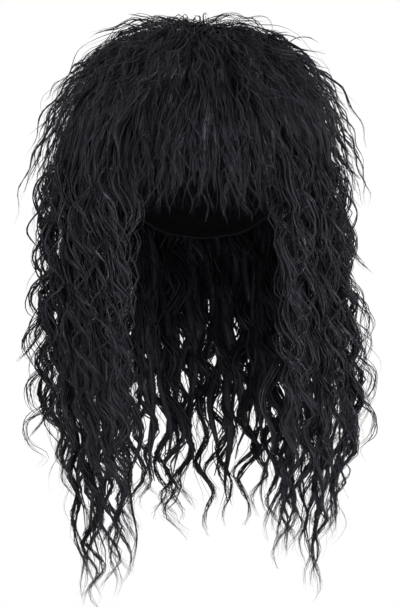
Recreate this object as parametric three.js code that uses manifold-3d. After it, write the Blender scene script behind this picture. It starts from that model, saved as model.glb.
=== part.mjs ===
// Long wavy shag wig: a fitted cap that carries short layered crown hair, a fringe, two side curtains
// and a long back mane. Each hair piece is a weft backing with its locks fused to it.
// Millimetres, +Z up, the face towards -Y and the wearer's left towards +X.
// The origin is the inside top of the cap, where the crown of the head meets it.
import * as THREE from "three";
import { mergeVertices } from "three/addons/utils/BufferGeometryUtils.js";
import Module from "manifold-3d";

const wasm = await Module();
wasm.setup();

// Driving dimensions of the head that the cap fits, an average adult one of about 560 mm round
const HEAD_HALF_WIDTH = 77;
const HEAD_HALF_LENGTH = 98;
const DOME_HEIGHT = 105; // from the head's widest level up to its crown

// Walls and gaps
const CAP_WALL = 1.5;
const PIECE_GAP = 0.6;
const BACKING_WALL = 2.5;
const BACKING_INSIDE = CAP_WALL + PIECE_GAP;
const BACKING_MIDDLE = BACKING_INSIDE + BACKING_WALL / 2;
const BACKING_OUTSIDE = BACKING_INSIDE + BACKING_WALL;
const BACKING_CUT = BACKING_INSIDE - 3; // a backing starts this deep and is cut back to its inside
const HEAD_ROOM_DEPTH = 40; // how deep under the cap the hair is kept clear

// Facets
const CAP_COLUMNS = 32;
const CAP_ROWS = 8;
const LOCK_SIDES = 5;
const BAND_STEP = 14; // degrees of azimuth for one facet of a weft band
const MERGE_WITHIN = 1e-5; // vertices of a geometry this close are one

// Waves of the locks: a sideways swing with a smaller swing in and out
const WAVE_LENGTH = 104;
const WAVE_SWING = 6;
const WAVE_DEPTH = 3;
const PHASE_PER_TURN = 1.5; // waves run side by side, so the phase changes slowly round the head

// Fullness of a lock along its length: where it swells, and how round its ends are
const SWELL_AT = 0.45;
const SWELL_ROUND = 0.6;

const HAIR = { color: 0x17171a, roughness: 0.45, metalness: 0 };
const NET = { color: 0x0d0d0f, roughness: 0.85, metalness: 0 };

// The cap's edge, from the forehead round the temple, the tab before the ear and the ear to the nape.
// Azimuth is degrees from the front and polar is degrees down from the crown.
const CAP_EDGE = [
  { azimuth: 0, polar: 64 },
  { azimuth: 35, polar: 67 },
  { azimuth: 56, polar: 79 },
  { azimuth: 68, polar: 97 },
  { azimuth: 84, polar: 88 },
  { azimuth: 100, polar: 90 },
  { azimuth: 120, polar: 106 },
  { azimuth: 150, polar: 118 },
  { azimuth: 180, polar: 121 },
];

// Crown hair by azimuth: how far its locks lie outside the head at the dome, the widest level and the tip
const CROWN = [
  { azimuth: 0, dome: 18, level: 27, tip: 28, tipZ: -92, thick: 8 },
  { azimuth: 40, dome: 21, level: 32, tip: 34, tipZ: -112, thick: 9 },
  { azimuth: 70, dome: 27, level: 40, tip: 52, tipZ: -178, thick: 11 },
  { azimuth: 100, dome: 30, level: 40, tip: 60, tipZ: -222, thick: 12 },
  { azimuth: 140, dome: 27, level: 41, tip: 50, tipZ: -236, thick: 12 },
  { azimuth: 180, dome: 25, level: 41, tip: 44, tipZ: -244, thick: 12 },
];
const LEFT_FLATTER = 0.28; // share by which crown hair lies closer to the head at the wearer's left
const LEFT_SHORTER = 0.2; // share by which it is shorter there
const CROWN_LOCKS = 16;
const CROWN_WIDTH = 30;
const CROWN_DISC = 34; // polar angle of the crown's weft disc
const CROWN_ROOTS = [12, 26]; // polar angles of its inner and outer roots, in turn
const CROWN_ROOT_ABOVE = 9; // degrees that a crown lock starts above its root, inside the disc
const CROWN_ROOT_BELOW = 8; // degrees below its root where the lock has risen off the disc
const CROWN_RISE = 0.85; // share of the dome column that it has risen to there
const DOME_POLAR = 52;
const DOME_MORE = 4; // how far it lies outside the dome column at that polar angle
const LEVEL_POLAR = 74;

// Fringe locks: tip is the distance outside the head at the lock's tip, width half the lock's width
const FRINGE = [
  { azimuth: -36, tip: 9, tipZ: -146, width: 11 },
  { azimuth: -26, tip: 11, tipZ: -138, width: 13 },
  { azimuth: -16, tip: 13, tipZ: -151, width: 13 },
  { azimuth: -5, tip: 13, tipZ: -143, width: 13 },
  { azimuth: 5, tip: 13, tipZ: -153, width: 13 },
  { azimuth: 16, tip: 13, tipZ: -141, width: 13 },
  { azimuth: 26, tip: 11, tipZ: -150, width: 13 },
  { azimuth: 36, tip: 9, tipZ: -144, width: 11 },
];
const FRINGE_ROOT = 58;
const FRINGE_THICK = 5.5;
const FRINGE_LIFT = 3; // how far a fringe lock lifts off its band
const BROW_POLAR = 84;

// Long locks: how far each lies outside the head's widest level at the ear, the jaw, the collar and its tip
const LEFT_SIDE = [
  { azimuth: 53, ear: 8, jaw: 10, collar: 13, tip: 4, tipZ: -398, width: 15, thick: 9 },
  { azimuth: 63, ear: 12, jaw: 18, collar: 21, tip: 15, tipZ: -466, width: 17, thick: 11 },
  { azimuth: 74, ear: 13, jaw: 25, collar: 32, tip: 25, tipZ: -452, width: 18, thick: 12 },
  { azimuth: 85, ear: 13, jaw: 30, collar: 45, tip: 38, tipZ: -400, width: 18, thick: 13 },
  { azimuth: 96, ear: 13, jaw: 31, collar: 53, tip: 56, tipZ: -364, width: 18, thick: 13 },
  { azimuth: 107, ear: 13, jaw: 28, collar: 40, tip: 33, tipZ: -432, width: 18, thick: 12 },
  { azimuth: 118, ear: 13, jaw: 22, collar: 28, tip: 20, tipZ: -456, width: 17, thick: 12 },
  { azimuth: 128, ear: 13, jaw: 16, collar: 17, tip: 10, tipZ: -430, width: 15, thick: 11 },
];
const RIGHT_SIDE = [
  { azimuth: -53, ear: 8, jaw: 9, collar: 12, tip: 5, tipZ: -436, width: 15, thick: 9 },
  { azimuth: -63, ear: 14, jaw: 20, collar: 22, tip: 14, tipZ: -448, width: 17, thick: 11 },
  { azimuth: -74, ear: 17, jaw: 32, collar: 36, tip: 30, tipZ: -471, width: 18, thick: 12 },
  { azimuth: -85, ear: 18, jaw: 42, collar: 52, tip: 47, tipZ: -406, width: 18, thick: 13 },
  { azimuth: -96, ear: 18, jaw: 46, collar: 62, tip: 70, tipZ: -356, width: 18, thick: 13 },
  { azimuth: -107, ear: 17, jaw: 36, collar: 44, tip: 38, tipZ: -426, width: 18, thick: 12 },
  { azimuth: -118, ear: 15, jaw: 24, collar: 28, tip: 20, tipZ: -450, width: 17, thick: 12 },
  { azimuth: -128, ear: 13, jaw: 16, collar: 17, tip: 10, tipZ: -436, width: 15, thick: 11 },
];
const BACK = [
  { azimuth: 147, ear: 13, jaw: 15, collar: 16, tip: 9, tipZ: -384, width: 17, thick: 12 },
  { azimuth: 158, ear: 16, jaw: 20, collar: 20, tip: 12, tipZ: -412, width: 20, thick: 13 },
  { azimuth: 169, ear: 18, jaw: 23, collar: 23, tip: 15, tipZ: -396, width: 20, thick: 14 },
  { azimuth: 180, ear: 18, jaw: 23, collar: 23, tip: 15, tipZ: -424, width: 20, thick: 14 },
  { azimuth: 191, ear: 18, jaw: 23, collar: 23, tip: 15, tipZ: -402, width: 20, thick: 14 },
  { azimuth: 202, ear: 16, jaw: 20, collar: 20, tip: 12, tipZ: -416, width: 20, thick: 13 },
  { azimuth: 213, ear: 13, jaw: 15, collar: 16, tip: 9, tipZ: -390, width: 17, thick: 12 },
];
const EAR_Z = -105;
const JAW_Z = -200;
const COLLAR_Z = -300;
const SIDE_ROOT = 68;
const BACK_ROOT = 80;
const BAND_HEIGHT = 16; // degrees of polar angle under a weft band
const ROOT_ABOVE = 5; // degrees that a lock starts above the middle of its band, inside it
const ROOT_BELOW = 6; // degrees below the middle where the lock has left the band
const ROOT_RISE = 0.4; // share of the ear column that it has risen to there

// Rings along each kind of lock
const CROWN_RINGS = 9;
const FRINGE_RINGS = 7;
const LONG_RINGS = 13;

// A value at an azimuth, in a straight line between the two rows of a table that enclose it
function readTable(table, azimuth, column) {
  const turned = Math.abs(THREE.MathUtils.euclideanModulo(azimuth + 180, 360) - 180);
  const next = Math.max(1, table.findIndex((row) => row.azimuth >= turned));
  const [low, high] = [table[next - 1], table[next]];
  const share = (turned - low.azimuth) / (high.azimuth - low.azimuth);
  return THREE.MathUtils.lerp(low[column], high[column], share);
}

// The point at an azimuth and polar angle that lies a given distance outside the head
function headPoint(azimuth, polar, out) {
  const around = THREE.MathUtils.degToRad(azimuth);
  const down = THREE.MathUtils.degToRad(polar);
  return new THREE.Vector3(
    (HEAD_HALF_WIDTH + out) * Math.sin(down) * Math.sin(around),
    -(HEAD_HALF_LENGTH + out) * Math.sin(down) * Math.cos(around),
    (DOME_HEIGHT + out) * Math.cos(down) - DOME_HEIGHT,
  );
}

// The point at a height that lies a given distance outside the head's widest level
function hangPoint(azimuth, z, out) {
  return headPoint(azimuth, 90, out).setZ(z);
}

// A closed three.js geometry as a solid, with each of its vertices moved to its place
function bend(geometry, place) {
  geometry.deleteAttribute("normal");
  geometry.deleteAttribute("uv");
  const merged = mergeVertices(geometry, MERGE_WITHIN);
  const position = merged.getAttribute("position");
  const vertex = new THREE.Vector3();
  for (let i = 0; i < position.count; i += 1) {
    const placed = place(vertex.fromBufferAttribute(position, i));
    position.setXYZ(i, placed.x, placed.y, placed.z);
  }
  return new wasm.Manifold(
    new wasm.Mesh({
      numProp: 3,
      vertProperties: position.array,
      triVerts: new Uint32Array(merged.index.array),
    }),
  );
}

// A bowl over the crown of the head: its wall runs between two distances outside the head, down to an edge
// that it may pass by some more rows
function bowl(inside, outside, columns, rows, edgeAt, moreRows = 0) {
  const profile = [];
  for (let row = 0; row <= rows + moreRows; row += 1) profile.push(new THREE.Vector2(row / rows, inside));
  for (let row = rows + moreRows; row >= 0; row -= 1) profile.push(new THREE.Vector2(row / rows, outside));
  return bend(new THREE.LatheGeometry(profile, columns), ({ x, y, z }) => {
    const azimuth = THREE.MathUtils.radToDeg(Math.atan2(x, z));
    return headPoint(azimuth, Math.hypot(x, z) * edgeAt(azimuth), y);
  });
}

// A weft band on the cap, from one azimuth to another, centred on a polar angle
function band(from, to, polar) {
  const facets = Math.max(2, Math.round(Math.abs(to - from) / BAND_STEP));
  return bend(new THREE.BoxGeometry(1, 1, 1, facets, 1, 1), ({ x, y, z }) =>
    headPoint(
      THREE.MathUtils.lerp(from, to, x + 0.5),
      polar - y * BAND_HEIGHT,
      THREE.MathUtils.lerp(BACKING_CUT, BACKING_OUTSIDE, z + 0.5),
    ),
  );
}

const capEdge = (azimuth) => readTable(CAP_EDGE, azimuth, "polar");

// The room that the cap and the head under it take up, which no hair enters
const HEAD_ROOM = bowl(-HEAD_ROOM_DEPTH, BACKING_INSIDE, CAP_COLUMNS, CAP_ROWS, capEdge, 1);

// Locks joined to their backing in one body, clear of the head
function fuse(backing, locks) {
  return locks.reduce((made, next) => made.add(next), backing).subtract(HEAD_ROOM);
}

// How full a lock is along its length: it swells soon after its root and thins slowly to a point
function fullness(along) {
  return Math.pow(Math.sin(Math.PI * Math.pow(along, SWELL_AT)), SWELL_ROUND);
}

// A flattened wavy lock through the given points. Width and thick are half of its widest section.
function lock(points, width, thick, rings, phase) {
  const curve = new THREE.CatmullRomCurve3(points, false, "centripetal");
  const length = curve.getLength();
  const sections = [];
  for (let ring = 0; ring <= rings; ring += 1) {
    const along = ring / rings;
    const centre = curve.getPointAt(along);
    const tangent = curve.getTangentAt(along);
    const outward = new THREE.Vector3(centre.x, centre.y, Math.max(0, centre.z + DOME_HEIGHT));
    const side = new THREE.Vector3().crossVectors(outward, tangent).normalize();
    const normal = new THREE.Vector3().crossVectors(tangent, side);
    const turn = (2 * Math.PI * along * length) / WAVE_LENGTH + phase;
    centre.addScaledVector(side, WAVE_SWING * along * Math.sin(turn));
    centre.addScaledVector(normal, WAVE_DEPTH * along * Math.cos(turn));
    sections.push({ centre, side, normal, full: fullness(along) });
  }
  return bend(new THREE.SphereGeometry(1, LOCK_SIDES, rings), ({ x, y, z }) => {
    const ring = Math.round((rings * Math.acos(THREE.MathUtils.clamp(y, -1, 1))) / Math.PI);
    const { centre, side, normal, full } = sections[ring];
    const around = Math.atan2(z, x);
    return centre
      .clone()
      .addScaledVector(side, width * full * Math.cos(around))
      .addScaledVector(normal, thick * full * Math.sin(around));
  });
}

const phaseAt = (azimuth) => THREE.MathUtils.degToRad(azimuth) * PHASE_PER_TURN;

// The wig cap: a thin fitted bowl, open below, with its edge shaped round the face, the ears and the nape
function cap() {
  return bowl(0, CAP_WALL, CAP_COLUMNS, CAP_ROWS, capEdge);
}

// Short layered hair that fans out from the crown over all the rest
function crownHair() {
  const disc = bowl(BACKING_CUT, BACKING_OUTSIDE, CROWN_LOCKS, 2, () => CROWN_DISC);
  const locks = [];
  for (let i = 0; i < CROWN_LOCKS; i += 1) {
    const azimuth = (360 * i) / CROWN_LOCKS;
    const root = CROWN_ROOTS[i % CROWN_ROOTS.length];
    const left = Math.max(0, Math.sin(THREE.MathUtils.degToRad(azimuth))) ** 2;
    const out = (column) => readTable(CROWN, azimuth, column) * (1 - LEFT_FLATTER * left);
    const tipZ = readTable(CROWN, azimuth, "tipZ") * (1 - LEFT_SHORTER * left);
    const points = [
      headPoint(azimuth, root - CROWN_ROOT_ABOVE, BACKING_MIDDLE),
      headPoint(azimuth, root + CROWN_ROOT_BELOW, CROWN_RISE * out("dome")),
      headPoint(azimuth, DOME_POLAR, out("dome") + DOME_MORE),
      headPoint(azimuth, LEVEL_POLAR, out("level")),
      hangPoint(azimuth, (Math.max(tipZ, EAR_Z) + tipZ) / 2, out("tip")),
      hangPoint(azimuth, tipZ, out("tip")),
    ];
    const thick = readTable(CROWN, azimuth, "thick");
    locks.push(lock(points, CROWN_WIDTH, thick, CROWN_RINGS, phaseAt(azimuth)));
  }
  return fuse(disc, locks);
}

// Choppy fringe that hangs over the forehead
function fringe() {
  const [first, last] = [FRINGE[0], FRINGE[FRINGE.length - 1]];
  const locks = FRINGE.map(({ azimuth, tip, tipZ, width }) => {
    const points = [
      headPoint(azimuth, FRINGE_ROOT - ROOT_ABOVE, BACKING_MIDDLE),
      headPoint(azimuth, FRINGE_ROOT + ROOT_BELOW, BACKING_OUTSIDE + FRINGE_LIFT),
      headPoint(azimuth, BROW_POLAR, (BACKING_OUTSIDE + tip) / 2),
      hangPoint(azimuth, tipZ, tip),
    ];
    return lock(points, width, FRINGE_THICK, FRINGE_RINGS, phaseAt(azimuth));
  });
  return fuse(band(first.azimuth, last.azimuth, FRINGE_ROOT), locks);
}

// Long locks that hang from one weft band, each by its row of a table
function longHair(rows, root) {
  const [first, last] = [rows[0], rows[rows.length - 1]];
  const [from, to] = first.azimuth < last.azimuth ? [first, last] : [last, first];
  const locks = rows.map(({ azimuth, ear, jaw, collar, tip, tipZ, width, thick }) => {
    const points = [
      headPoint(azimuth, root - ROOT_ABOVE, BACKING_MIDDLE),
      headPoint(azimuth, root + ROOT_BELOW, BACKING_OUTSIDE + ROOT_RISE * ear),
      hangPoint(azimuth, EAR_Z, ear),
      hangPoint(azimuth, JAW_Z, jaw),
      hangPoint(azimuth, COLLAR_Z, collar),
      hangPoint(azimuth, tipZ, tip),
    ];
    return lock(points, width, thick, LONG_RINGS, phaseAt(azimuth));
  });
  return fuse(band(from.azimuth, to.azimuth, root), locks);
}

// A solid as a named mesh with its finish
function piece(name, solid, finish) {
  const { vertProperties, triVerts } = solid.getMesh();
  const geometry = new THREE.BufferGeometry();
  geometry.setAttribute("position", new THREE.BufferAttribute(vertProperties, 3));
  geometry.setIndex(new THREE.BufferAttribute(triVerts, 1));
  geometry.computeVertexNormals();
  const mesh = new THREE.Mesh(geometry, new THREE.MeshStandardMaterial(finish));
  mesh.name = name;
  return mesh;
}

const wig = new THREE.Group();
wig.add(
  piece("cap", cap(), NET),
  piece("crown_hair", crownHair(), HAIR),
  piece("fringe", fringe(), HAIR),
  piece("left_side_hair", longHair(LEFT_SIDE, SIDE_ROOT), HAIR),
  piece("right_side_hair", longHair(RIGHT_SIDE, SIDE_ROOT), HAIR),
  piece("back_hair", longHair(BACK, BACK_ROOT), HAIR),
);

export default wig;
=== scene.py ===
"""Looks of a long wavy shag wig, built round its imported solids.

Every hair piece is one closed mesh of many tubes: ridged locks make the dark mass, ribbons lie over them,
and fine strands clump round shared lines. They follow the paths of the solid that they replace, worked out
from the same tables. Flicks, tufts, curls and loops leave its outline. Sizes are in millimetres, angles in
degrees, and meshes in metres. The face looks towards -Y.
"""

import math

import bpy
import numpy as np
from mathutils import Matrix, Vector


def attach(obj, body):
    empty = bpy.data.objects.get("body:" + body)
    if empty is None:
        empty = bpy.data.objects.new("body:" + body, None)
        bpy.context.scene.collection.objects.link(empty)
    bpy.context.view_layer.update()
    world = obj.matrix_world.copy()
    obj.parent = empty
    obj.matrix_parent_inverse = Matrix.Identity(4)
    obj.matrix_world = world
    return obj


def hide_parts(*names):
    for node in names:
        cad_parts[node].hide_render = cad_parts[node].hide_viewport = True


MM = 0.001
TINY = 1e-9  # keeps a division by a length of 0 from failing
SEEDS = {"crown": 21, "fringe": 22, "left": 23, "right": 24, "back": 25, "flicks": 26}

# The head and the cap that fits it
HEAD_HALF_WIDTH = 77
HEAD_HALF_LENGTH = 98
DOME_HEIGHT = 105
SKIN_LENGTH = 4 * DOME_HEIGHT  # down the cap's outside and up its inside, about
CAP_EDGE = {  # polar angle down from the crown, by azimuth from the front
    "azimuth": (0, 35, 56, 68, 84, 100, 120, 150, 180),
    "polar": (64, 67, 79, 97, 88, 90, 106, 118, 121),
}
EDGE_BLUR = range(-6, 7, 2)  # turns in azimuth over which the edge is averaged
CAP_WALL = 1.5
CAP_COLUMNS = 120
CAP_ROWS = 24
CAP_TOP = 0.002  # share of the way to the edge at which the skin closes
HEM_RADIUS = 1.5
HEM_RISE = 3  # the skin turns into the hem this far above the edge
HEM_TURN = 145  # how far the hem rolls to both sides
HEM_ROWS = 12
WEFT_ROWS = 13
WEFT_RIDGE = 0.7
WEFT_STEPS = 6  # rows of the skin for each row of weft
NET_SCALE = 150  # threads to the metre, about

# Roots
WEFT_OUT = 3.4  # hair starts this far outside the head, inside its weft backing
CROWN_TUCK = 9  # how far back a root is tucked in, as a polar angle
CROWN_RISE = 10  # how far on from its root hair has risen
ROOT_TUCK = 5  # the same for the fringe and the long pieces
ROOT_RISE = 6
SIDE_ROOT = 68
BACK_ROOT = 80
ROOT_SPREAD = 6  # how far the roots of a long piece lie above and below that

# Crown: how far hair lies outside the head, by azimuth, at the dome, the widest level and the tip
CROWN = {
    "azimuth": (0, 40, 70, 100, 140, 180),
    "dome": (18, 22, 31, 35, 29, 25),
    "level": (27, 33, 45, 47, 44, 41),
    "tip": (28, 34, 52, 60, 50, 44),
    "tip_z": (-92, -112, -178, -222, -236, -244),
    "thick": (8, 9, 11, 12, 12, 12),
}
CROWN_SPAN = (-180, 180)
CROWN_TOP = 19  # how high hair lies over the top of the head
RISEN_TOP = 0.75 * CROWN_TOP
TOP_ROUND = 0.6  # below 1, hair reaches its height early on its way to the dome
DOME_POLAR = 52
DOME_MORE = 4  # added at the dome, because strands lie over the solid's locks
LEVEL_POLAR = 74
LEFT_FLATTER = 0.28  # share by which crown hair lies closer to the head at the wearer's left
DOME_FLATTER = 0.75 * LEFT_FLATTER
LEFT_SHORTER = 0.2  # share by which it is shorter there
SIDE_FULLER = 0.7  # how much nearer the surface the crown's cores lie at the sides
SIDE_POWER = 6  # the higher, the narrower the sides that this reaches
PARTING = 7  # azimuth from which front hair sweeps to both sides
PARTING_WIDTH = 15
SPIKES = {  # tufts that point out of the outline: place of the tip, and the drop on the way to it
    "azimuth": (90, 84, 93, -90, -97, -84, -88, 97, -92, 92),
    "z": (-111, -96, -193, -268, -250, -84, -140, -255, -334, -302),
    "out": (58, 52, 70, 83, 74, 52, 68, 62, 75, 68),
    "drop": (34, 40, 52, 60, 60, 36, 40, 60, 54, 54),
}
SPIKE_STEPS = (  # from root to tip: turn from the tip, height above it in drops, and share of the way out
    (5, 1.5, 0.45),
    (4, 1.0, 0.55),
    (2, 0.35, 0.78),
    (0, 0.0, 1.0),
)

# Fringe: how far its tips lie outside the head's widest level, by azimuth
FRINGE = {
    "azimuth": (-40, -26, -16, -5, 5, 16, 26, 40),
    "tip": (9, 11, 13, 13, 13, 13, 11, 9),
    "tip_z": (-154, -148, -161, -153, -164, -151, -160, -152),
}
FRINGE_SPAN = (-43, 43)
FRINGE_THICK = 5.5
FRINGE_LIFT = 4  # how far it stands off its weft near the root
BROW_LIFT = 1  # how far it stands off a straight way to the tip at the brow
BROW_POLAR = 84

# Long pieces: how far they lie outside the head's widest level, by azimuth, at three heights and the tip
EAR_Z = -105
JAW_Z = -200
COLLAR_Z = -300
LEFT_SIDE = {
    "azimuth": (53, 63, 74, 85, 96, 107, 118, 128),
    "ear": (8, 13, 17, 19, 19, 17, 14, 13),
    "jaw": (10, 18, 25, 30, 31, 28, 22, 16),
    "collar": (13, 21, 32, 46, 57, 41, 28, 17),
    "tip": (4, 15, 20, 20, 32, 19, 16, 10),
    "tip_z": (-438, -468, -468, -392, -334, -416, -462, -434),
    "thick": (9, 11, 12, 13, 13, 12, 12, 11),
}
RIGHT_SIDE = {
    "azimuth": (-128, -118, -107, -96, -85, -74, -63, -53),
    "ear": (14, 20, 26, 30, 30, 26, 18, 8),
    "jaw": (16, 24, 34, 42, 40, 31, 20, 9),
    "collar": (17, 27, 38, 49, 43, 33, 22, 12),
    "tip": (10, 16, 22, 30, 27, 22, 14, 5),
    "tip_z": (-440, -456, -410, -332, -396, -492, -482, -456),
    "thick": (11, 12, 12, 13, 13, 12, 11, 9),
}
BACK = {
    "azimuth": (147, 158, 169, 180, 191, 202, 213),
    "ear": (13, 16, 18, 18, 18, 16, 13),
    "jaw": (15, 20, 23, 23, 23, 20, 15),
    "collar": (16, 20, 23, 23, 23, 20, 16),
    "tip": (9, 12, 15, 15, 15, 12, 9),
    "tip_z": (-384, -412, -396, -424, -402, -416, -390),
    "thick": (12, 13, 14, 14, 14, 13, 12),
}
LEFT_SPAN = (47, 137)
RIGHT_SPAN = (-137, -47)
BACK_SPAN = (130, 230)
BACK_FULLNESS = 0.78  # clumps at the back against those at a side
LONG_LIFT = 1  # how far a long piece stands off its weft near the root
INNER_TIP = 24  # tips inside a long piece lie this near the head or nearer, and this low or lower
INNER_TIP_Z = -430
DRAWN_DEPTH = 0.7  # below this depth tips are drawn in, and wholly so where it is lower by the range
DRAWN_RANGE = 0.5
CORE_INSET = 9  # how far cores keep from the edges of a long piece
LEFT_CURL = {  # loose curls at the front edges of the sides, from root to tip
    "x": (68, 63, 54, 49, 50, 57, 59, 55, 49, 49, 56),
    "y": (-58, -62, -64, -65, -65, -64, -63, -62, -61, -60, -60),
    "z": (-236, -262, -279, -291, -305, -318, -330, -343, -362, -379, -398),
}
RIGHT_CURL = {
    "x": (-84, -76, -65, -56, -51, -52, -57, -61, -59, -55, -59),
    "y": (-56, -61, -64, -65, -65, -64, -63, -62, -61, -60, -60),
    "z": (-262, -279, -291, -307, -319, -332, -346, -358, -383, -408, -438),
}
LEFT_LOOPS = {  # loops that leave the outline of the sides and turn back: root, length, and how far they bow
    "azimuth": (88, 92, 90),
    "z": (-208, -256, -292),
    "drop": (60, 66, 62),
    "out": (49, 50, 50),
    "bow": (17, 20, 20),
}
RIGHT_LOOPS = {
    "azimuth": (-92, -88, -91, -89),
    "z": (-186, -226, -268, -300),
    "drop": (64, 60, 58, 58),
    "out": (54, 56, 56, 52),
    "bow": (19, 18, 17, 23),
}
LOOP_STEPS = (  # from root to tip: turn, height below the start in drops, distance in, and share of the bow
    (4, -0.3, 14, 0.0),
    (2, 0.0, 0, 0.0),
    (0, 0.3, 0, 0.9),
    (0, 0.55, 0, 0.85),
    (0, 0.8, 0, 0.15),
    (0, 1.0, 0, 0.55),
)

# Clumps and their waves
PATH_POINTS = 160  # points of a clump's own path
BEND_POINTS = 24  # points of a bend between two places that a path goes through
WAVE_MARCH = 11  # turn of the waves' phase to a degree of azimuth
WAVE_GROWS = (10, 90)  # stretch from the root over which waves grow
WANDER = ((0.8, 41, 2), (0.5, 19, 5))  # changes of phase: size, length to a radian, and share of the lag
SLOW_WAVE = (0.6, 0.43, 6)  # a second wave across: size and beat against the first, and share of the lag
WAVE_DEPTH = 0.85  # waves outward against waves across
FRONT_FLICK = 0.4  # flicks at the front and the back against those at the sides
BOW_TURN = 2.3  # how far round a bowed flick goes, in radians: past its highest point

# Tubes
LOCK_SIDES = 6
RIBBON_SIDES = 4
STRAND_SIDES = 3
FLAT_GIRTH = 5  # way round a flat tube, in half widths
TIP_POWER = 0.75  # below 1, a tube stays full for longer on its way to the tip
LEAST_FULL = 0.08  # fullness that is left at both ends
RIDGE = 0.9  # reach of every other corner of a lock's section, with grooves between
GROOVE = 0.72
RIDGE_WAVES = ((3, 0.13), (8, 0.08))  # how often ridges come and go along a lock, and how far
RIDGE_BEATS = (0.6, 1.4)
LOCK_END = 0.96  # share of its line that a lock covers
LOCK_ROOT = 0.12  # share of a lock's length over which it swells
LOCK_SIZES = (0.75, 1.2)
LOCK_TWIST = 1.2  # in radians, as are the two turns below
STRAND_TURN = 1.3  # how far a strand winds round its clump
STRAND_TWIST = 2.0
STRAND_ROOT = 0.08
LOOSE_SHARE = 0.1  # share of strands that stay apart at their tips
LOOSE_DRAWN = 0.45  # how far those draw together
TAIL_GATHER = (0.15, 0.95)  # stretch over which the strands of a tail draw together
CLUMP_FLAT = 0.6  # a clump's thickness against its width, and below, the same for frizz
FRIZZ_FLAT = 0.7
FRIZZ_SIZES = (0.3, 1.3)
FRIZZ_GROWS = (5, 50)
SWELL = 0.3  # how far a strand's width comes and goes, and over which lengths
SWELL_LENGTHS = (30, 60)
CORE_PAINTED_FILL_TONES = (0.5, 0.8)  # painted light: cores are coloured lighter than strands, to offset the shade that the strands cast on them
RIBBON_TONES = (0.0, 0.3)
CLUMP_TONES = 0.2  # how far clumps differ in tone, and strands in a clump
STRAND_TONES = 0.1
ROUND = 0.9  # thickness against width of hairs that lie apart

# Frizz: how far a strand swings by itself, and the range of its waves
CROWN_FRIZZ = (1.2, 22, 38)
SPIKE_FRIZZ = (1.4, 22, 34)
WISP_FRIZZ = (0.6, 24, 40)
FRINGE_FRIZZ = (0.9, 20, 34)
TAIL_FRIZZ = (1.4, 26, 46)
LONG_FRIZZ = (1.9, 18, 40)

# The sheet for baking, which has a strip for each tube, and flow lines
STRIP_SHAPE = 60  # strips in a row of the sheet against rows
STRIP_MARGIN = 0.1
STRIP_ENDS = 0.01  # walls keep this far from the ends of their strip, and closing faces half as far
FLOW_STEP = 0.37  # sets the streaks of each tube apart

# Camera: level, in front of the face, with the frame's middle and height at the head's middle plane
CAMERA_DISTANCE = 2200
FRAME_HEIGHT = 516
FRAME_CENTRE = (-2.5, -216)
SENSOR = 36

# Floor
FLOOR_Z = -580
FLOOR_RADIUS = 700
FLOOR_CORNERS = 96

# Lights: name, place in metres, size in metres, power in watts
LIGHTS = (
    ("front", (1.0, -1.9, 1.1), 0.5, 28),
    ("top", (0.1, 0.0, 1.4), 0.9, 1.5),
    ("key", (1.5, -1.3, -1.0), 0.5, 19),
    ("fill", (-1.5, -1.2, -1.0), 0.5, 14),
    ("back", (0.2, 2.4, -0.1), 0.8, 18),
    ("rim_left", (-1.3, 1.1, 0.5), 0.8, 4),
    ("rim_right", (1.3, 1.1, 0.5), 0.8, 4),
)
LIGHT_TARGET = (0, 0, -0.15)
AMBIENT = 0.3


# Points round the head
def head_point(azimuth, polar, out):
    """The point at an azimuth and polar angle that lies a distance outside the head, in mm."""
    around, down = np.radians(azimuth), np.radians(polar)
    return np.stack(
        np.broadcast_arrays(
            (HEAD_HALF_WIDTH + out) * np.sin(down) * np.sin(around),
            -(HEAD_HALF_LENGTH + out) * np.sin(down) * np.cos(around),
            (DOME_HEIGHT + out) * np.cos(down) - DOME_HEIGHT,
        ),
        axis=-1,
    )


def hang_point(azimuth, z, out):
    """The point at a height that lies a distance outside the head's widest level, in mm."""
    point = head_point(azimuth, 90, out)
    point[..., 2] = z
    return point


def read(table, column, azimuth):
    """A column of a table at some azimuths, in straight lines between its rows."""
    return np.interp(azimuth, table["azimuth"], table[column])


def columns(table, *names):
    """Whole columns of a table."""
    return [np.array(table[name], dtype=float) for name in names]


def turned(azimuth):
    """Azimuths as angles from the front, 0 to 180 on both sides."""
    return np.abs((np.asarray(azimuth) + 180) % 360 - 180)


# Steps and directions
def ease(value, start, end):
    """A smooth step from 0 at the start to 1 at the end."""
    share = np.clip((value - start) / (end - start), 0, 1)
    return share * share * (3 - 2 * share)


def unit(vectors):
    """Vectors drawn out or in to a length of 1."""
    return vectors / np.maximum(np.linalg.norm(vectors, axis=-1, keepdims=True), TINY)


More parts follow.
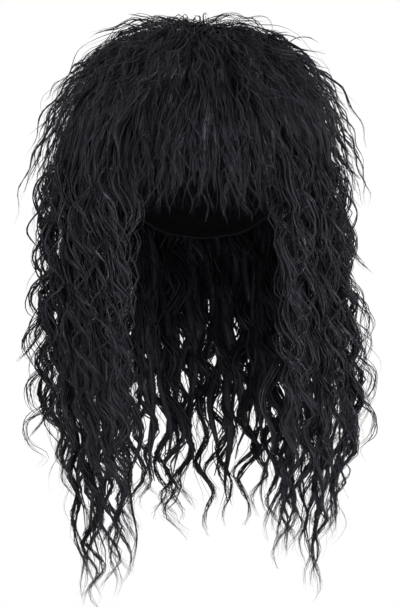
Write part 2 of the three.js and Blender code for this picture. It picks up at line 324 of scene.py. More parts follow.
# Paths from root to tip, one row each. A clump takes on its drift in azimuth along the way. Its depth runs
# from 0 inside to 1 outside, and its layer is how far it lies from the middle of the hair's thickness.
def crown_paths(clumps):
    """Paths over the dome and down past the widest level. They lie flatter at the wearer's left."""
    azimuth, root, drift = clumps["azimuth"], clumps["root"], clumps["drift"]

    def column(name, share, less):
        """A column at a share of the drift, lower by another share at the wearer's left."""
        at = azimuth + share * drift
        return read(CROWN, name, turned(at)) * (1 - less * np.maximum(0, np.sin(np.radians(at))) ** 2)

    layer = column("thick", 0.5, 0) * (2 * clumps["depth"] - 1)
    risen = root + CROWN_RISE
    middle = 0.5 * (risen + DOME_POLAR)
    dome = column("dome", 0.3, DOME_FLATTER) + DOME_MORE
    over_top = CROWN_TOP + (dome - CROWN_TOP) * (np.abs(middle) / DOME_POLAR) ** TOP_ROUND
    tip = column("tip", 1, LEFT_FLATTER)
    tip_z = column("tip_z", 1, LEFT_SHORTER)
    return np.stack(
        [
            head_point(azimuth, root - CROWN_TUCK, WEFT_OUT),
            head_point(azimuth, risen, RISEN_TOP + 0.4 * layer),
            head_point(azimuth + 0.15 * drift, middle, over_top + 0.6 * layer),
            head_point(azimuth + 0.3 * drift, DOME_POLAR, dome + 0.9 * layer),
            head_point(azimuth + 0.6 * drift, LEVEL_POLAR, column("level", 0.6, LEFT_FLATTER) + layer),
            hang_point(azimuth + 0.8 * drift, 0.5 * (np.maximum(tip_z, EAR_Z) + tip_z), tip + layer),
            hang_point(azimuth + drift, tip_z, tip + 0.6 * layer),
        ],
        axis=1,
    )


def fringe_paths(clumps):
    """Paths over the forehead and past the brow."""
    azimuth, root, drift = clumps["azimuth"], clumps["root"], clumps["drift"]
    tip, tip_z = (read(FRINGE, column, azimuth + drift) for column in ("tip", "tip_z"))
    layer = FRINGE_THICK * (2 * clumps["depth"] - 1)
    return np.stack(
        [
            head_point(azimuth, root - ROOT_TUCK, WEFT_OUT),
            head_point(azimuth + 0.1 * drift, root + ROOT_RISE, WEFT_OUT + FRINGE_LIFT + layer),
            head_point(azimuth + 0.5 * drift, BROW_POLAR, 0.5 * (WEFT_OUT + tip) + BROW_LIFT + layer),
            hang_point(azimuth + drift, tip_z, tip + layer),
        ],
        axis=1,
    )


def long_paths(table, clumps):
    """Paths down a side or the back. Clumps inside are longer and have their tips nearer the head."""
    azimuth, root, drift = clumps["azimuth"], clumps["root"], clumps["drift"]

    def column(name, share):
        """A column at a share of the drift."""
        return read(table, name, azimuth + share * drift)

    layer = column("thick", 0.5) * (2 * clumps["depth"] - 1)

    def fanned(inner, outer):
        """The layer, drawn out by one share inside the middle and by another outside it."""
        return np.where(layer < 0, inner, outer) * layer

    inside = ease(DRAWN_DEPTH - clumps["depth"], 0, DRAWN_RANGE)
    tip, tip_z = column("tip", 1), column("tip_z", 1)
    tip = tip + inside * (np.minimum(tip, INNER_TIP) - tip)
    tip_z = tip_z + inside * (np.minimum(tip_z, INNER_TIP_Z) - tip_z)
    return np.stack(
        [
            head_point(azimuth, root - ROOT_TUCK, WEFT_OUT),
            head_point(azimuth, root + ROOT_RISE, WEFT_OUT + LONG_LIFT + 0.4 * column("ear", 0)),
            hang_point(azimuth + 0.1 * drift, EAR_Z, column("ear", 0.1) + fanned(0.7, 1.5)),
            hang_point(azimuth + 0.3 * drift, JAW_Z, column("jaw", 0.3) + fanned(1.0, 1.2)),
            hang_point(azimuth + 0.6 * drift, COLLAR_Z, column("collar", 0.6) + 0.9 * layer),
            hang_point(azimuth + drift, tip_z, tip + 0.3 * layer),
        ],
        axis=1,
    )


def spike_paths():
    """Paths of the tufts, which end in a point outside the outline."""
    azimuth, z, out, drop = columns(SPIKES, "azimuth", "z", "out", "drop")
    steps = [hang_point(azimuth + turn, z + above * drop, share * out) for turn, above, share in SPIKE_STEPS]
    return np.stack(steps, axis=1)


def curl_paths(table):
    """The path of one loose curl."""
    return np.stack(columns(table, "x", "y", "z"), axis=-1)[None]


def loop_paths(table):
    """Paths of loops, which bow out of the outline and come back to it."""
    azimuth, z, drop, out, bow = columns(table, "azimuth", "z", "drop", "out", "bow")
    steps = [
        hang_point(azimuth + turn, z - below * drop, out - tucked + bowed * bow)
        for turn, below, tucked, bowed in LOOP_STEPS
    ]
    return np.stack(steps, axis=1)


# Lines along paths
def smooth_lines(points):
    """Smooth lines through rows of points, each as points evenly spaced along it, with its length."""
    gaps = np.sqrt(np.linalg.norm(np.diff(points, axis=1), axis=2))[..., None]
    chords = np.diff(points, axis=1) / gaps
    inner = (chords[:, :-1] * gaps[:, 1:] + chords[:, 1:] * gaps[:, :-1]) / (gaps[:, 1:] + gaps[:, :-1])
    slopes = np.concatenate([chords[:, :1], inner, chords[:, -1:]], axis=1)
    part = np.linspace(0, 1, BEND_POINTS, endpoint=False)[None, :, None]
    bends = []
    for i in range(points.shape[1] - 1):
        start, end = points[:, i, None], points[:, i + 1, None]
        leave, arrive = slopes[:, i, None] * gaps[:, i, None], slopes[:, i + 1, None] * gaps[:, i, None]
        bends.append(
            (2 * part**3 - 3 * part**2 + 1) * start
            + (part**3 - 2 * part**2 + part) * leave
            + (3 * part**2 - 2 * part**3) * end
            + (part**3 - part**2) * arrive
        )
    dense = np.concatenate([*bends, points[:, -1:]], axis=1)
    steps = np.linalg.norm(np.diff(dense, axis=1), axis=2)
    travelled = np.concatenate([np.zeros((len(points), 1)), np.cumsum(steps, axis=1)], axis=1)
    even = np.linspace(0, 1, PATH_POINTS)
    lines = np.empty((len(points), PATH_POINTS, 3))
    for row, (way, line) in enumerate(zip(travelled, dense)):
        for axis in range(3):
            lines[row, :, axis] = np.interp(even * way[-1], way, line[:, axis])
    return lines, travelled[:, -1]


def frames(lines):
    """Across and outward directions of lines, square to them and to the way out of the head."""
    ahead = unit(np.gradient(lines, axis=1))
    outward = lines.copy()
    outward[..., 2] = np.maximum(0, lines[..., 2] + DOME_HEIGHT)
    across = unit(np.cross(outward, ahead))
    return across, np.cross(ahead, across)


def pick(rows, index, at):
    """Values of chosen rows at shares of their length, in straight lines between their points."""
    place = np.clip(at, 0, 1) * (rows.shape[1] - 1)
    low = np.minimum(place.astype(int), rows.shape[1] - 2)
    share = (place - low)[..., None]
    chosen = index[:, None]
    return rows[chosen, low] * (1 - share) + rows[chosen, low + 1] * share


# Clumps
def steps_of(rng, count, low, high):
    """Values spread evenly over a range, one in each step of it, in random order."""
    values = low + (high - low) * (np.arange(count) + rng.random(count)) / count
    rng.shuffle(values)
    return values


def make_clumps(
    rng, count, span, roots, depths, waves, swings, cuts, drift, flicks,
    loose=2.0, lifts=(0.2, 0.55), hooks=(0, 0.7), sweep=0,
):
    """Seeded clumps. Each range is given as its two ends. A cut is the share of its path that a clump has.

    The waves of neighbours march round the head together, but for a loose angle, in radians. A flick starts
    at its lift, a share of the length, and its hook is 0 where it bows over and 1 where it turns out. A sweep
    turns hair at the front away from the parting.
    """
    azimuth = steps_of(rng, count, *span)
    swept = sweep * np.tanh((azimuth - PARTING) / PARTING_WIDTH) * np.maximum(0, np.cos(np.radians(azimuth)))
    sideways = FRONT_FLICK + (1 - FRONT_FLICK) * np.abs(np.sin(np.radians(azimuth)))
    return {
        "azimuth": azimuth,
        "root": steps_of(rng, count, *roots),
        "depth": steps_of(rng, count, *depths),
        "wave": rng.uniform(*waves, count),
        "swing": rng.uniform(*swings, count),
        "phase": np.radians(WAVE_MARCH * azimuth) + rng.normal(0, loose, count),
        "lag": rng.uniform(-1, 1, count),
        "cut": steps_of(rng, count, *cuts),
        "drift": rng.normal(0, drift, count) + swept,
        "flick": rng.uniform(*flicks, count) * sideways,
        "lift": rng.uniform(*lifts, count),
        "hook": rng.uniform(*hooks, count),
    }


def lay(paths, clumps):
    """The lines of clumps, each cut to its length and waved from near its root.

    A flick leaves the hair beside it and bows over, or hooks out at its tip.
    """
    whole, length = smooth_lines(paths)
    share = np.linspace(0, 1, PATH_POINTS)[None]
    wave, swing, phase, lag, cut, flick, lift, hook = (
        clumps[name][:, None] for name in ("wave", "swing", "phase", "lag", "cut", "flick", "lift", "hook")
    )
    lines = pick(whole, np.arange(len(whole)), cut * share)
    across, outward = frames(lines)
    along = share * cut * length[:, None]
    swing = swing * ease(along, *WAVE_GROWS)
    wander = sum(size * np.sin(along / reach + lags * lag) for size, reach, lags in WANDER)
    turn = 2 * np.pi * along / wave + phase + wander
    slow, beat, lags = SLOW_WAVE
    side = swing * (np.sin(turn) + slow * np.sin(beat * turn + lags * lag))
    risen = np.clip((share - lift) / (1 - lift), 0, 1)
    away = (1 - hook) * np.sin(BOW_TURN * risen) + hook * risen**3
    out = WAVE_DEPTH * swing * np.cos(turn + lag) + flick * away
    return lines + across * side[..., None] + outward * out[..., None]


# Tubes
def tube_family(lines, half_width, half_thick, sides, ridges, tone, twist):
    """Closed tubes along lines. Ridges are how far each corner of a tube's section stands from its middle."""
    across, outward = frames(lines)
    rows, count = lines.shape[:2]
    turn = np.linspace(0, 1, count)[None, :, None] * twist[:, None, None]
    angle = 2 * np.pi * np.arange(sides)[None, None] / sides + turn
    reach = np.broadcast_to(ridges, (rows, count, sides))
    wide = half_width[..., None] * reach * np.cos(angle)
    thick = half_thick[..., None] * reach * np.sin(angle)
    corners = (
        lines[:, :, None]
        + across[:, :, None] * wide[..., None]
        + outward[:, :, None] * thick[..., None]
    )
    length = np.linalg.norm(np.diff(lines, axis=1), axis=2).sum(axis=1)
    girth = FLAT_GIRTH * half_width.max(axis=1)
    return {"corners": corners, "tone": tone, "length": length, "girth": girth}


def taper(count, root, tip):
    """Fullness along a tube: it swells over its root share and thins to a point over its tip share."""
    along = np.linspace(0, 1, count)
    full = np.sqrt(np.clip(along / root, 0, 1)) * np.clip((1 - along) / tip, 0, 1) ** TIP_POWER
    return np.maximum(full, LEAST_FULL)


def ridges_along(rng, rows, rings, sides):
    """How far corners of a lock's section stand out along it: ridges that come and go between grooves."""
    along = np.linspace(0, 1, rings)[None, :, None]
    reach = np.full((rows, rings, sides), RIDGE)
    reach[..., ::2] = GROOVE
    for beats, height in RIDGE_WAVES:
        beat = beats * rng.uniform(*RIDGE_BEATS, (rows, 1, sides))
        reach += height * np.sin(2 * np.pi * (beat * along + rng.random((rows, 1, sides))))
    return reach


def locks(rng, lines, width, thick, rings, point, sides=LOCK_SIDES, tones=RIBBON_TONES):
    """Ridged locks, one along each line. Point is the share of a lock's length that thins out."""
    rows = len(lines)
    at = np.broadcast_to(np.linspace(0.0, LOCK_END, rings), (rows, rings))
    chosen = pick(lines, np.arange(rows), at)
    full = taper(rings, LOCK_ROOT, point)[None]
    wide = rng.uniform(*LOCK_SIZES, rows)[:, None] * full * width
    deep = rng.uniform(*LOCK_SIZES, rows)[:, None] * full * thick
    ridges = ridges_along(rng, rows, rings, sides)
    tone = rng.uniform(*tones, rows)
    return tube_family(chosen, wide, deep, sides, ridges, tone, rng.normal(0, LOCK_TWIST, rows))


def strands(
    rng, lines, each, rings, spread, widths, starts, ends, frizz,
    flat=0.65, point=0.5, tone=0.55, gather=(0.08, 0.88),
):
    """Fine strands round each line. They draw together from the first spread to the second, but for a few.

    Widths, starts and ends are ranges. Frizz is how far a strand swings by itself, and the range of its
    waves. Flat is a strand's thickness against its width, point the share of its length that thins out, and
    gather the stretch over which strands draw together.
    """
    count = len(lines) * each
    index = np.repeat(np.arange(len(lines)), each)
    along = np.linspace(0, 1, rings)[None]
    start = rng.uniform(*starts, count)[:, None]
    at = start + (rng.uniform(*ends, count)[:, None] - start) * along
    chosen = pick(lines, index, at)
    across, outward = frames(chosen)
    drawn = np.where(rng.random(count) < LOOSE_SHARE, LOOSE_DRAWN, 1.0)[:, None] * ease(at, *gather)
    reach = np.sqrt(rng.random(count))[:, None] * (spread[0] + (spread[1] - spread[0]) * drawn)
    angle = rng.uniform(0, 2 * np.pi, count)[:, None] + rng.normal(0, STRAND_TURN, count)[:, None] * along
    swing, shortest, longest = frizz
    travelled = np.linalg.norm(np.diff(chosen, axis=1), axis=2).sum(axis=1)[:, None] * along
    turn = 2 * np.pi * travelled / rng.uniform(shortest, longest, count)[:, None]
    turn += rng.uniform(0, 2 * np.pi, count)[:, None]
    grown = swing * rng.uniform(*FRIZZ_SIZES, count)[:, None] * ease(travelled, *FRIZZ_GROWS)
    side = reach * np.cos(angle) + grown * np.sin(turn)
    out = CLUMP_FLAT * reach * np.sin(angle) + FRIZZ_FLAT * grown * np.cos(turn)
    moved = chosen + across * side[..., None] + outward * out[..., None]
    beat = travelled / rng.uniform(*SWELL_LENGTHS, count)[:, None] + rng.random(count)[:, None]
    wide = rng.uniform(*widths, count)[:, None] * taper(rings, STRAND_ROOT, point)[None]
    wide = wide * (1 + SWELL * np.sin(2 * np.pi * beat))
    tones = rng.normal(tone, CLUMP_TONES, len(lines))[index] + rng.normal(0, STRAND_TONES, count)
    twist = rng.normal(0, STRAND_TWIST, count)
    return tube_family(moved, wide, flat * wide, STRAND_SIDES, 1.0, np.clip(tones, 0, 1), twist)


# Meshes
def strip_place(number, across, along, grid):
    """Places on the sheet for baking, by number of the tube. Across and along are shares of its strip."""
    rows, row_strips = grid
    inside = STRIP_MARGIN + (1 - 2 * STRIP_MARGIN) * across
    place = np.broadcast_arrays(
        (number % row_strips + inside) / row_strips,
        (number // row_strips + along) / rows,
    )
    return np.stack(place, axis=-1).reshape(-1, 2)


def add_walls(faces, family, first_point, first_tube, grid):
    """Adds the walls of a family's tubes to the lists of faces."""
    tubes, rings, sides = family["corners"].shape[:3]
    tube, ring, side = np.meshgrid(np.arange(tubes), np.arange(rings - 1), np.arange(sides), indexing="ij")
    tube = tube[..., None]
    ahead = ring[..., None] + np.array([0, 0, 1, 1])
    around = side[..., None] + np.array([0, 1, 1, 0])
    number = first_tube + tube
    corners = first_point + (tube * rings + ahead) * sides + around % sides
    along = STRIP_ENDS + (1 - 2 * STRIP_ENDS) * ahead / (rings - 1)
    flow = np.broadcast_arrays(
        around / sides * family["girth"][tube] * MM + number * FLOW_STEP,
        ahead / (rings - 1) * family["length"][tube] * MM,
    )
    faces["corners"].append(corners.ravel())
    faces["counts"].append(np.full(tube.size, 4))
    faces["OFBake"].append(strip_place(number, around / sides, along, grid))
    faces["Flow"].append(np.stack(flow, axis=-1).reshape(-1, 2))


def add_ends(faces, family, first_point, first_tube, grid):
    """Adds what closes both ends of a family's tubes to the lists of faces."""
    tubes, rings, sides = family["corners"].shape[:3]
    tube = np.arange(tubes)[:, None]
    forward = np.arange(sides)[None]
    margin = 0.5 * STRIP_ENDS
    for ring, around, along in ((0, forward[:, ::-1], margin), (rings - 1, forward, 1 - margin)):
        corners = first_point + (tube * rings + ring) * sides + around
        faces["corners"].append(corners.ravel())
        faces["counts"].append(np.full(tubes, sides))
        faces["OFBake"].append(strip_place(first_tube + tube, around / sides, along, grid))
        faces["Flow"].append(np.zeros((corners.size, 2)))


def tube_piece(name, families, material):
    """One closed mesh of all the tubes, with strips laid out for baking and flow lines for the finish."""
    total = sum(len(family["corners"]) for family in families)
    grid_rows = max(1, round(math.sqrt(total / STRIP_SHAPE)))
    grid = (grid_rows, math.ceil(total / grid_rows))
    faces = {"corners": [], "counts": [], "OFBake": [], "Flow": []}
    points, tones = [], []
    first_point, first_tube = 0, 0
    for family in families:
        add_walls(faces, family, first_point, first_tube, grid)
        add_ends(faces, family, first_point, first_tube, grid)
        tubes, rings, sides = family["corners"].shape[:3]
        points.append(family["corners"].reshape(-1, 3) * MM)
        tones.append(np.repeat(family["tone"], rings * sides))
        first_point += tubes * rings * sides
        first_tube += tubes
    return add_mesh(name, np.concatenate(points), np.concatenate(tones), faces, material)


def add_mesh(name, points, tones, faces, material):
    """A new object of smooth faces, made from their lists, with a tone at each point."""
    corners = np.concatenate(faces["corners"])
    counts = np.concatenate(faces["counts"])
    mesh = bpy.data.meshes.new(name)
    mesh.vertices.add(len(points))
    mesh.vertices.foreach_set("co", points.astype(np.float32).ravel())
    mesh.loops.add(len(corners))
    mesh.loops.foreach_set("vertex_index", corners.astype(np.int32))
    mesh.polygons.add(len(counts))
    mesh.polygons.foreach_set("loop_start", (np.cumsum(counts) - counts).astype(np.int32))
    mesh.polygons.foreach_set("use_smooth", np.ones(len(counts), dtype=bool))
    for layout in ("OFBake", "Flow"):
        uv = mesh.uv_layers.new(name=layout)
        uv.uv.foreach_set("vector", np.concatenate(faces[layout]).astype(np.float32).ravel())
    # tone: random differences between tubes, and painted light on the cores, which get a higher tone to
    # offset the shade the strands cast on them
    tone = mesh.attributes.new("tone", "FLOAT", "POINT")
    tone.data.foreach_set("value", tones.astype(np.float32))
    mesh.update(calc_edges=True)
    mesh.validate()
    mesh.materials.append(material)
    piece = bpy.data.objects.new(name, mesh)
    bpy.context.scene.collection.objects.link(piece)
    return piece


# Materials
def new_material(name):
    """A material with nodes, and its shader."""
    material = bpy.data.materials.new(name)
    material.use_nodes = True
    return material, material.node_tree.nodes["Principled BSDF"]


def add_node(material, kind, **values):
    """A new node of a material with some values set."""
    node = material.node_tree.nodes.new(kind)
    for key, value in values.items():
        setattr(node, key, value)
    return node


def hair_material():
    """Black synthetic fibre: fine streaks run along each strand, and strands differ a little in tone. A
    higher tone on the cores paints them lighter, as painted light against the shade the strands cast on them.
    """
    material, shader = new_material("black_fibre")
    link = material.node_tree.links.new
    flow = add_node(material, "ShaderNodeUVMap", uv_map="Flow")
    stretch = add_node(material, "ShaderNodeMapping")
    stretch.inputs["Scale"].default_value = (520, 9, 1)
    streaks = add_node(material, "ShaderNodeTexNoise", noise_dimensions="2D")
    streaks.inputs["Scale"].default_value = 1
    streaks.inputs["Detail"].default_value = 4
    streaks.inputs["Roughness"].default_value = 0.6
    tone = add_node(material, "ShaderNodeAttribute", attribute_name="tone")
    # tone lightens the colour: random tone between strands, and painted light on the cores, whose higher tone
    # offsets the shade of the strands over them
    blend = add_node(material, "ShaderNodeMath", operation="MULTIPLY_ADD")
    blend.inputs[1].default_value = 0.25
    colour = add_node(material, "ShaderNodeValToRGB")
    colour.color_ramp.elements[0].color = (0.0135, 0.0135, 0.0168, 1)
    colour.color_ramp.elements[0].position = 0.44
    colour.color_ramp.elements[1].color = (0.0215, 0.0215, 0.0275, 1)
    colour.color_ramp.elements[1].position = 0.76
    gloss = add_node(material, "ShaderNodeMapRange")
    gloss.inputs["From Min"].default_value = 0.3
    gloss.inputs["From Max"].default_value = 0.9
    gloss.inputs["To Min"].default_value = 0.56
    gloss.inputs["To Max"].default_value = 0.16
    bump = add_node(material, "ShaderNodeBump")
    bump.inputs["Strength"].default_value = 0.8
    bump.inputs["Distance"].default_value = 0.001
    link(flow.outputs["UV"], stretch.inputs["Vector"])
    link(stretch.outputs["Vector"], streaks.inputs["Vector"])
    link(tone.outputs["Fac"], blend.inputs[0])
    link(streaks.outputs["Fac"], blend.inputs[2])
    link(blend.outputs["Value"], colour.inputs["Fac"])
    link(colour.outputs["Color"], shader.inputs["Base Color"])
    link(tone.outputs["Fac"], gloss.inputs["Value"])
    link(gloss.outputs["Result"], shader.inputs["Roughness"])
    link(streaks.outputs["Fac"], bump.inputs["Height"])
    link(bump.outputs["Normal"], shader.inputs["Normal"])
    shader.inputs["Specular IOR Level"].default_value = 0.48
    shader.inputs["Specular Tint"].default_value = (0.88, 0.87, 1, 1)
    return material


def net_material():
    """Matte black elastic net: two crossing sets of fine threads."""
    material, shader = new_material("black_net")
    link = material.node_tree.links.new
    flow = add_node(material, "ShaderNodeUVMap", uv_map="Flow")
    net = add_node(material, "ShaderNodeMath", operation="MAXIMUM")
    for threads, slant in enumerate((45, -45)):
        lean = add_node(material, "ShaderNodeMapping")
        lean.inputs["Rotation"].default_value = (0, 0, math.radians(slant))
        wave = add_node(material, "ShaderNodeTexWave", wave_type="BANDS", bands_direction="X")
        wave.inputs["Scale"].default_value = NET_SCALE
        wave.inputs["Distortion"].default_value = 0.4
        link(flow.outputs["UV"], lean.inputs["Vector"])
        link(lean.outputs["Vector"], wave.inputs["Vector"])
        link(wave.outputs["Fac"], net.inputs[threads])
    colour = add_node(material, "ShaderNodeValToRGB")
    colour.color_ramp.elements[0].color = (0.008, 0.008, 0.010, 1)
    colour.color_ramp.elements[0].position = 0.5
    colour.color_ramp.elements[1].color = (0.035, 0.035, 0.042, 1)
    bump = add_node(material, "ShaderNodeBump")
    bump.inputs["Strength"].default_value = 0.6
    bump.inputs["Distance"].default_value = 0.0005
    link(net.outputs["Value"], colour.inputs["Fac"])
    link(colour.outputs["Color"], shader.inputs["Base Color"])
    link(net.outputs["Value"], bump.inputs["Height"])
    link(bump.outputs["Normal"], shader.inputs["Normal"])
    shader.inputs["Roughness"].default_value = 0.85
    shader.inputs["Specular IOR Level"].default_value = 0.2
    return material


def floor_material():
    """A pale floor that glows a little, so that it stays pale beside the white background."""
    material, shader = new_material("pale_floor")
    shader.inputs["Base Color"].default_value = (0.9, 0.9, 0.9, 1)
    shader.inputs["Roughness"].default_value = 0.8
    shader.inputs["Emission Color"].default_value = (1, 1, 1, 1)
    shader.inputs["Emission Strength"].default_value = 0.25
    return material


# Crown
def crown_lines(rng, fuller=0, **ranges):
    """Lines of clumps on the crown, which lie nearer the surface at the sides by a fuller share."""
    clumps = make_clumps(rng, span=CROWN_SPAN, **ranges)
    clumps["depth"] += fuller * np.sin(np.radians(clumps["azimuth"])) ** SIDE_POWER
    return lay(crown_paths(clumps), clumps)


def crown_hair(material):
    """Hair that fans out from the crown: cores, ribbons over them, and strands in layers."""
    rng = np.random.default_rng(SEEDS["crown"])
    cores = crown_lines(
        rng, SIDE_FULLER, count=120, roots=(-8, 32), depths=(-1.0, -0.3), waves=(60, 90), swings=(1, 3),
        cuts=(0.65, 0.92), drift=6, flicks=(-4, 0),
    )
    ribbons = crown_lines(
        rng, count=250, roots=(-16, 34), depths=(-0.4, 0.8), waves=(40, 62), swings=(1.5, 3.5),
        cuts=(0.6, 1.0), drift=22, flicks=(0, 5), sweep=34,
    )
    layers = crown_lines(
        rng, count=128, roots=(-16, 34), depths=(0.1, 1.0), waves=(28, 46), swings=(2, 4.5),
        cuts=(0.38, 1.0), drift=32, flicks=(0, 10), sweep=44,
    )
    families = [
        # cores get painted light: a higher tone colours them lighter against the shade of the strands over
        # them
        locks(rng, cores, width=7, thick=6, rings=20, point=0.35, tones=CORE_PAINTED_FILL_TONES),
        locks(rng, ribbons, width=1.0, thick=0.6, rings=20, point=0.5, sides=RIBBON_SIDES),
        strands(
            rng, layers, each=7, rings=24, spread=(10, 1.5), widths=(0.25, 0.5), starts=(0.0, 0.25),
            ends=(0.75, 1.0), frizz=CROWN_FRIZZ, tone=0.4,
        ),
    ]
    return tube_piece("wavy_crown_hair", families, material)


def crown_flicks(material):
    """Flicks that leave the crown's outline: wisps that turn up, a few loose hairs, and tufts."""
    rng = np.random.default_rng(SEEDS["flicks"])
    wisps = crown_lines(
        rng, count=300, roots=(-14, 32), depths=(0.6, 1.0), waves=(22, 34), swings=(1.2, 2.8),
        cuts=(0.3, 0.88), drift=16, flicks=(8, 27), lifts=(0.5, 0.72), hooks=(0.2, 1.0), sweep=12,
    )
    strays = crown_lines(
        rng, count=36, roots=(-16, 30), depths=(0.9, 1.2), waves=(40, 70), swings=(3, 6),
        cuts=(0.3, 0.8), drift=20, flicks=(4, 16),
    )
    spikes = smooth_lines(spike_paths())[0]
    families = [
        strands(
            rng, wisps, each=5, rings=12, spread=(4, 0.4), widths=(0.28, 0.56), starts=(0.5, 0.68),
            ends=(0.9, 1.0), frizz=WISP_FRIZZ, flat=ROUND, point=0.6,
        ),
        strands(
            rng, strays, each=1, rings=26, spread=(2, 1), widths=(0.25, 0.4), starts=(0.2, 0.4),
            ends=(0.8, 1.0), frizz=WISP_FRIZZ, flat=ROUND,
        ),
        strands(
            rng, spikes, each=16, rings=16, spread=(9, 0.6), widths=(0.35, 0.7), starts=(0.0, 0.2),
            ends=(0.75, 1.0), frizz=SPIKE_FRIZZ, flat=ROUND,
        ),
    ]
    return tube_piece("crown_flicks", families, material)


# Fringe
def fringe_lines(rng, **ranges):
    """Lines of clumps in the fringe."""
    clumps = make_clumps(rng, span=FRINGE_SPAN, **ranges)
    return lay(fringe_paths(clumps), clumps)


def fringe(material):
    """A choppy fringe: short cores, ribbons, clumps that end in points, and single hairs."""
    rng = np.random.default_rng(SEEDS["fringe"])
    cores = fringe_lines(
        rng, count=24, roots=(46, 62), depths=(0.0, 0.5), waves=(50, 70), swings=(0.5, 1.5),
        cuts=(0.6, 0.8), drift=4, flicks=(0, 0),
    )
    ribbons = fringe_lines(
        rng, count=60, roots=(42, 62), depths=(0.1, 0.8), waves=(36, 56), swings=(1, 3),
        cuts=(0.6, 0.95), drift=8, flicks=(0, 3), sweep=10,
    )
    points = fringe_lines(
        rng, count=46, roots=(40, 62), depths=(0.2, 1.1), waves=(30, 46), swings=(2, 4),
        cuts=(0.84, 1.0), drift=12, flicks=(0, 5), sweep=12,
    )
    singles = fringe_lines(
        rng, count=60, roots=(40, 62), depths=(0.3, 1.4), waves=(28, 44), swings=(2, 4.5),
        cuts=(0.75, 1.0), drift=18, flicks=(0, 8),
    )
    families = [
        # cores get painted light: a higher tone colours them lighter against the shade of the strands over
        # them
        locks(rng, cores, width=6, thick=2, rings=16, point=0.5, tones=CORE_PAINTED_FILL_TONES),
        locks(rng, ribbons, width=1.4, thick=0.6, rings=16, point=0.6, sides=RIBBON_SIDES),
        strands(
            rng, points, each=8, rings=28, spread=(5, 0.5), widths=(0.2, 0.48), starts=(0.0, 0.1),
            ends=(0.94, 1.0), frizz=FRINGE_FRIZZ,
        ),
        strands(
            rng, singles, each=2, rings=26, spread=(3, 0.6), widths=(0.2, 0.42), starts=(0.0, 0.2),
            ends=(0.9, 1.0), frizz=FRINGE_FRIZZ,
        ),
    ]
    return tube_piece("choppy_fringe", families, material)


# Long pieces
def long_families(rng, table, span, root, fullness=1):
    """Tubes of a long piece: cores, tails that reach the tips, ribbons, layers, and loose wisps and hairs."""

    def lines(count, within=span, **ranges):
        """Lines of clumps in this piece."""
        roots = (root - ROOT_SPREAD, root + ROOT_SPREAD)
        clumps = make_clumps(rng, count, within, roots, **ranges)
        return lay(long_paths(table, clumps), clumps)

    cores = lines(
        count=36, within=(span[0] + CORE_INSET, span[1] - CORE_INSET), depths=(0.2, 0.6), waves=(60, 90),
        swings=(2, 4), cuts=(0.55, 0.94), drift=3, flicks=(-4, 0),
    )
    tails = lines(
        count=round(24 * fullness), depths=(0.05, 0.95), waves=(46, 60), swings=(5, 8),
        cuts=(0.95, 1.0), drift=3, flicks=(0, 5), loose=0.7,
    )
    ribbons = lines(
        count=76, depths=(-0.1, 0.95), waves=(48, 64), swings=(3, 5.5),
        cuts=(0.6, 0.97), drift=4, flicks=(0, 5), loose=0.8,
    )
    layers = lines(
        count=round(40 * fullness), depths=(-0.1, 1.1), waves=(44, 60), swings=(3, 6),
        cuts=(0.5, 0.9), drift=5, flicks=(2, 9),
    )
    wisps = lines(
        count=round(42 * fullness), depths=(0.85, 1.15), waves=(44, 60), swings=(5.5, 9),
        cuts=(0.42, 0.9), drift=6, flicks=(3, 14),
    )
    strays = lines(
        count=16, depths=(0.6, 1.1), waves=(44, 70), swings=(4, 7),
        cuts=(0.5, 0.97), drift=7, flicks=(2, 12),
    )
    return [
        # cores get painted light: a higher tone colours them lighter against the shade of the strands over
        # them
        locks(rng, cores, width=6.5, thick=3, rings=26, point=0.4, tones=CORE_PAINTED_FILL_TONES),
        strands(
            rng, tails, each=8, rings=34, spread=(9, 1.2), widths=(0.7, 1.3), starts=(0.0, 0.1),
            ends=(0.93, 1.0), frizz=TAIL_FRIZZ, flat=0.7, point=0.3, tone=0.3, gather=TAIL_GATHER,
        ),
        locks(rng, ribbons, width=1.3, thick=0.7, rings=36, point=0.6, sides=STRAND_SIDES),
        strands(
            rng, tails, each=8, rings=48, spread=(10, 1), widths=(0.3, 0.62), starts=(0.05, 0.3),
            ends=(0.94, 1.0), frizz=LONG_FRIZZ, point=0.3, gather=TAIL_GATHER,
        ),
        strands(
            rng, layers, each=4, rings=38, spread=(8, 0.7), widths=(0.28, 0.6), starts=(0.1, 0.35),
            ends=(0.85, 1.0), frizz=LONG_FRIZZ,
        ),
        strands(
            rng, wisps, each=4, rings=34, spread=(3, 0.7), widths=(0.35, 0.7), starts=(0.15, 0.4),
            ends=(0.85, 1.0), frizz=WISP_FRIZZ, flat=ROUND,
        ),
        strands(
            rng, strays, each=1, rings=34, spread=(2, 1), widths=(0.25, 0.4), starts=(0.3, 0.5),
            ends=(0.85, 1.0), frizz=LONG_FRIZZ, flat=ROUND,
        ),
    ]


def side_hair(name, table, span, seed, curl, loops, material):
    """A long side piece, with a loose curl at its front edge and loops at its outline."""
    rng = np.random.default_rng(seed)
    families = [
        *long_families(rng, table, span, SIDE_ROOT),
        strands(
            rng, smooth_lines(curl_paths(curl))[0], each=16, rings=40, spread=(5, 0.8), widths=(0.35, 0.7),
            starts=(0.0, 0.1), ends=(0.85, 1.0), frizz=WISP_FRIZZ, flat=ROUND, gather=(0.0, 0.7),
        ),
        strands(
            rng, smooth_lines(loop_paths(loops))[0], each=7, rings=20, spread=(9, 6), widths=(0.3, 0.6),
            starts=(0.0, 0.2), ends=(0.7, 1.0), frizz=LONG_FRIZZ, flat=ROUND, gather=(0.0, 0.5),
        ),
    ]
    return tube_piece(name, families, material)


def left_side_hair(material):
    """The piece at the wearer's left."""
    return side_hair(
        "wavy_left_side_hair", LEFT_SIDE, LEFT_SPAN, SEEDS["left"], LEFT_CURL, LEFT_LOOPS, material
    )


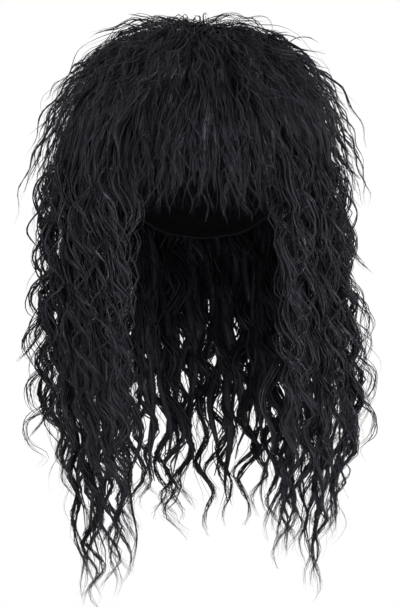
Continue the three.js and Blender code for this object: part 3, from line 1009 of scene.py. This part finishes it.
def right_side_hair(material):
    """The piece at the wearer's right."""
    return side_hair(
        "wavy_right_side_hair", RIGHT_SIDE, RIGHT_SPAN, SEEDS["right"], RIGHT_CURL, RIGHT_LOOPS, material
    )


def back_hair(material):
    """The long piece at the back, which is less full than the sides."""
    rng = np.random.default_rng(SEEDS["back"])
    families = long_families(rng, BACK, BACK_SPAN, BACK_ROOT, BACK_FULLNESS)
    return tube_piece("wavy_back_hair", families, material)


# Cap
def net_cap(material):
    """The cap as one closed skin: its outside, a rolled hem, and its inside with rows of sewn weft."""
    azimuth = np.linspace(0, 360, CAP_COLUMNS, endpoint=False)
    edge = np.mean([read(CAP_EDGE, "polar", turned(azimuth + step)) for step in EDGE_BLUR], axis=0)
    outside = [(share, -HEM_RISE * share, CAP_WALL) for share in np.linspace(CAP_TOP, 1, CAP_ROWS)]
    hem = [
        (1, HEM_RADIUS * (math.cos(turn) - 1), 0.5 * CAP_WALL + HEM_RADIUS * math.sin(turn))
        for turn in np.radians(np.linspace(HEM_TURN, -HEM_TURN, HEM_ROWS))
    ]
    inside = [
        (share, -HEM_RISE * share, -WEFT_RIDGE * max(0, math.cos(2 * math.pi * WEFT_ROWS * share)) ** 3)
        for share in np.linspace(1, CAP_TOP, WEFT_STEPS * WEFT_ROWS)
    ]
    rows = [
        head_point(azimuth, share * edge + math.degrees(drop / DOME_HEIGHT), out)
        for share, drop, out in (*outside, *hem, *inside)
    ]
    skin = {
        "corners": np.array(rows)[None],
        "tone": np.zeros(1),
        "length": np.array([SKIN_LENGTH]),
        "girth": np.array([2 * math.pi * HEAD_HALF_WIDTH]),
    }
    return tube_piece("net_cap", [skin], material)


# Stage
def add_floor():
    """A pale round floor below the wig."""
    bpy.ops.mesh.primitive_circle_add(vertices=FLOOR_CORNERS, radius=FLOOR_RADIUS * MM, fill_type="NGON")
    floor = bpy.context.object
    floor.location.z = FLOOR_Z * MM
    floor.name = "floor"
    floor.data.materials.append(floor_material())


def add_world():
    """A background that is white to the camera and lights the wig dimly."""
    world = bpy.data.worlds.new("studio")
    bpy.context.scene.world = world
    world.use_nodes = True
    nodes, link = world.node_tree.nodes, world.node_tree.links.new
    seen = nodes.new("ShaderNodeLightPath")
    white = nodes.new("ShaderNodeBackground")
    white.inputs["Color"].default_value = (1, 1, 1, 1)
    white.inputs["Strength"].default_value = 1.0
    dim = nodes["Background"]
    dim.inputs["Color"].default_value = (0.96, 0.96, 1, 1)
    dim.inputs["Strength"].default_value = AMBIENT
    mix = nodes.new("ShaderNodeMixShader")
    link(seen.outputs["Is Camera Ray"], mix.inputs["Fac"])
    link(dim.outputs["Background"], mix.inputs[1])
    link(white.outputs["Background"], mix.inputs[2])
    link(mix.outputs["Shader"], nodes["World Output"].inputs["Surface"])


def add_lights():
    """Area lamps round the wig, all aimed at one place in it."""
    for name, place, size, power in LIGHTS:
        light = bpy.data.lights.new(name, "AREA")
        light.size = size
        light.energy = power
        lamp = bpy.data.objects.new(name, light)
        lamp.location = place
        aim = np.array(LIGHT_TARGET) - np.array(place)
        lamp.rotation_mode = "QUATERNION"
        lamp.rotation_quaternion = Vector(aim).to_track_quat("-Z", "Y")
        bpy.context.scene.collection.objects.link(lamp)


def add_camera():
    """A long lens, level with the middle of the wig."""
    camera = bpy.data.cameras.new("camera")
    camera.sensor_width = SENSOR
    camera.lens = SENSOR * CAMERA_DISTANCE / FRAME_HEIGHT
    eye = bpy.data.objects.new("camera", camera)
    eye.location = (FRAME_CENTRE[0] * MM, -CAMERA_DISTANCE * MM, FRAME_CENTRE[1] * MM)
    eye.rotation_euler = (math.pi / 2, 0, 0)
    bpy.context.scene.collection.objects.link(eye)
    bpy.context.scene.camera = eye
    bpy.context.scene.view_settings.view_transform = "Standard"


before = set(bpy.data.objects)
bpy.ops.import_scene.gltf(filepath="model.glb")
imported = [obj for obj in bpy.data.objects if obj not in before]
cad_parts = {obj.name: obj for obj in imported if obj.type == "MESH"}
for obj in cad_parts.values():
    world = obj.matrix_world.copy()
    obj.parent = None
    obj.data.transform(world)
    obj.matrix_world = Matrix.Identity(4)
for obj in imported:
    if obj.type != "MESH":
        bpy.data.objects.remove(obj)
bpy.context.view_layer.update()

fibre = hair_material()
pieces = (
    (crown_hair(fibre), "crown_hair", "hair"),
    (crown_flicks(fibre), "crown_hair", "hair"),
    (fringe(fibre), "fringe", "hair"),
    (left_side_hair(fibre), "left_side_hair", "hair"),
    (right_side_hair(fibre), "right_side_hair", "hair"),
    (back_hair(fibre), "back_hair", "hair"),
    (net_cap(net_material()), "cap", "cap_net"),
)
for piece, node, slot in pieces:
    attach(piece, "root")
    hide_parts(node)

add_floor()
add_world()
add_lights()
add_camera()
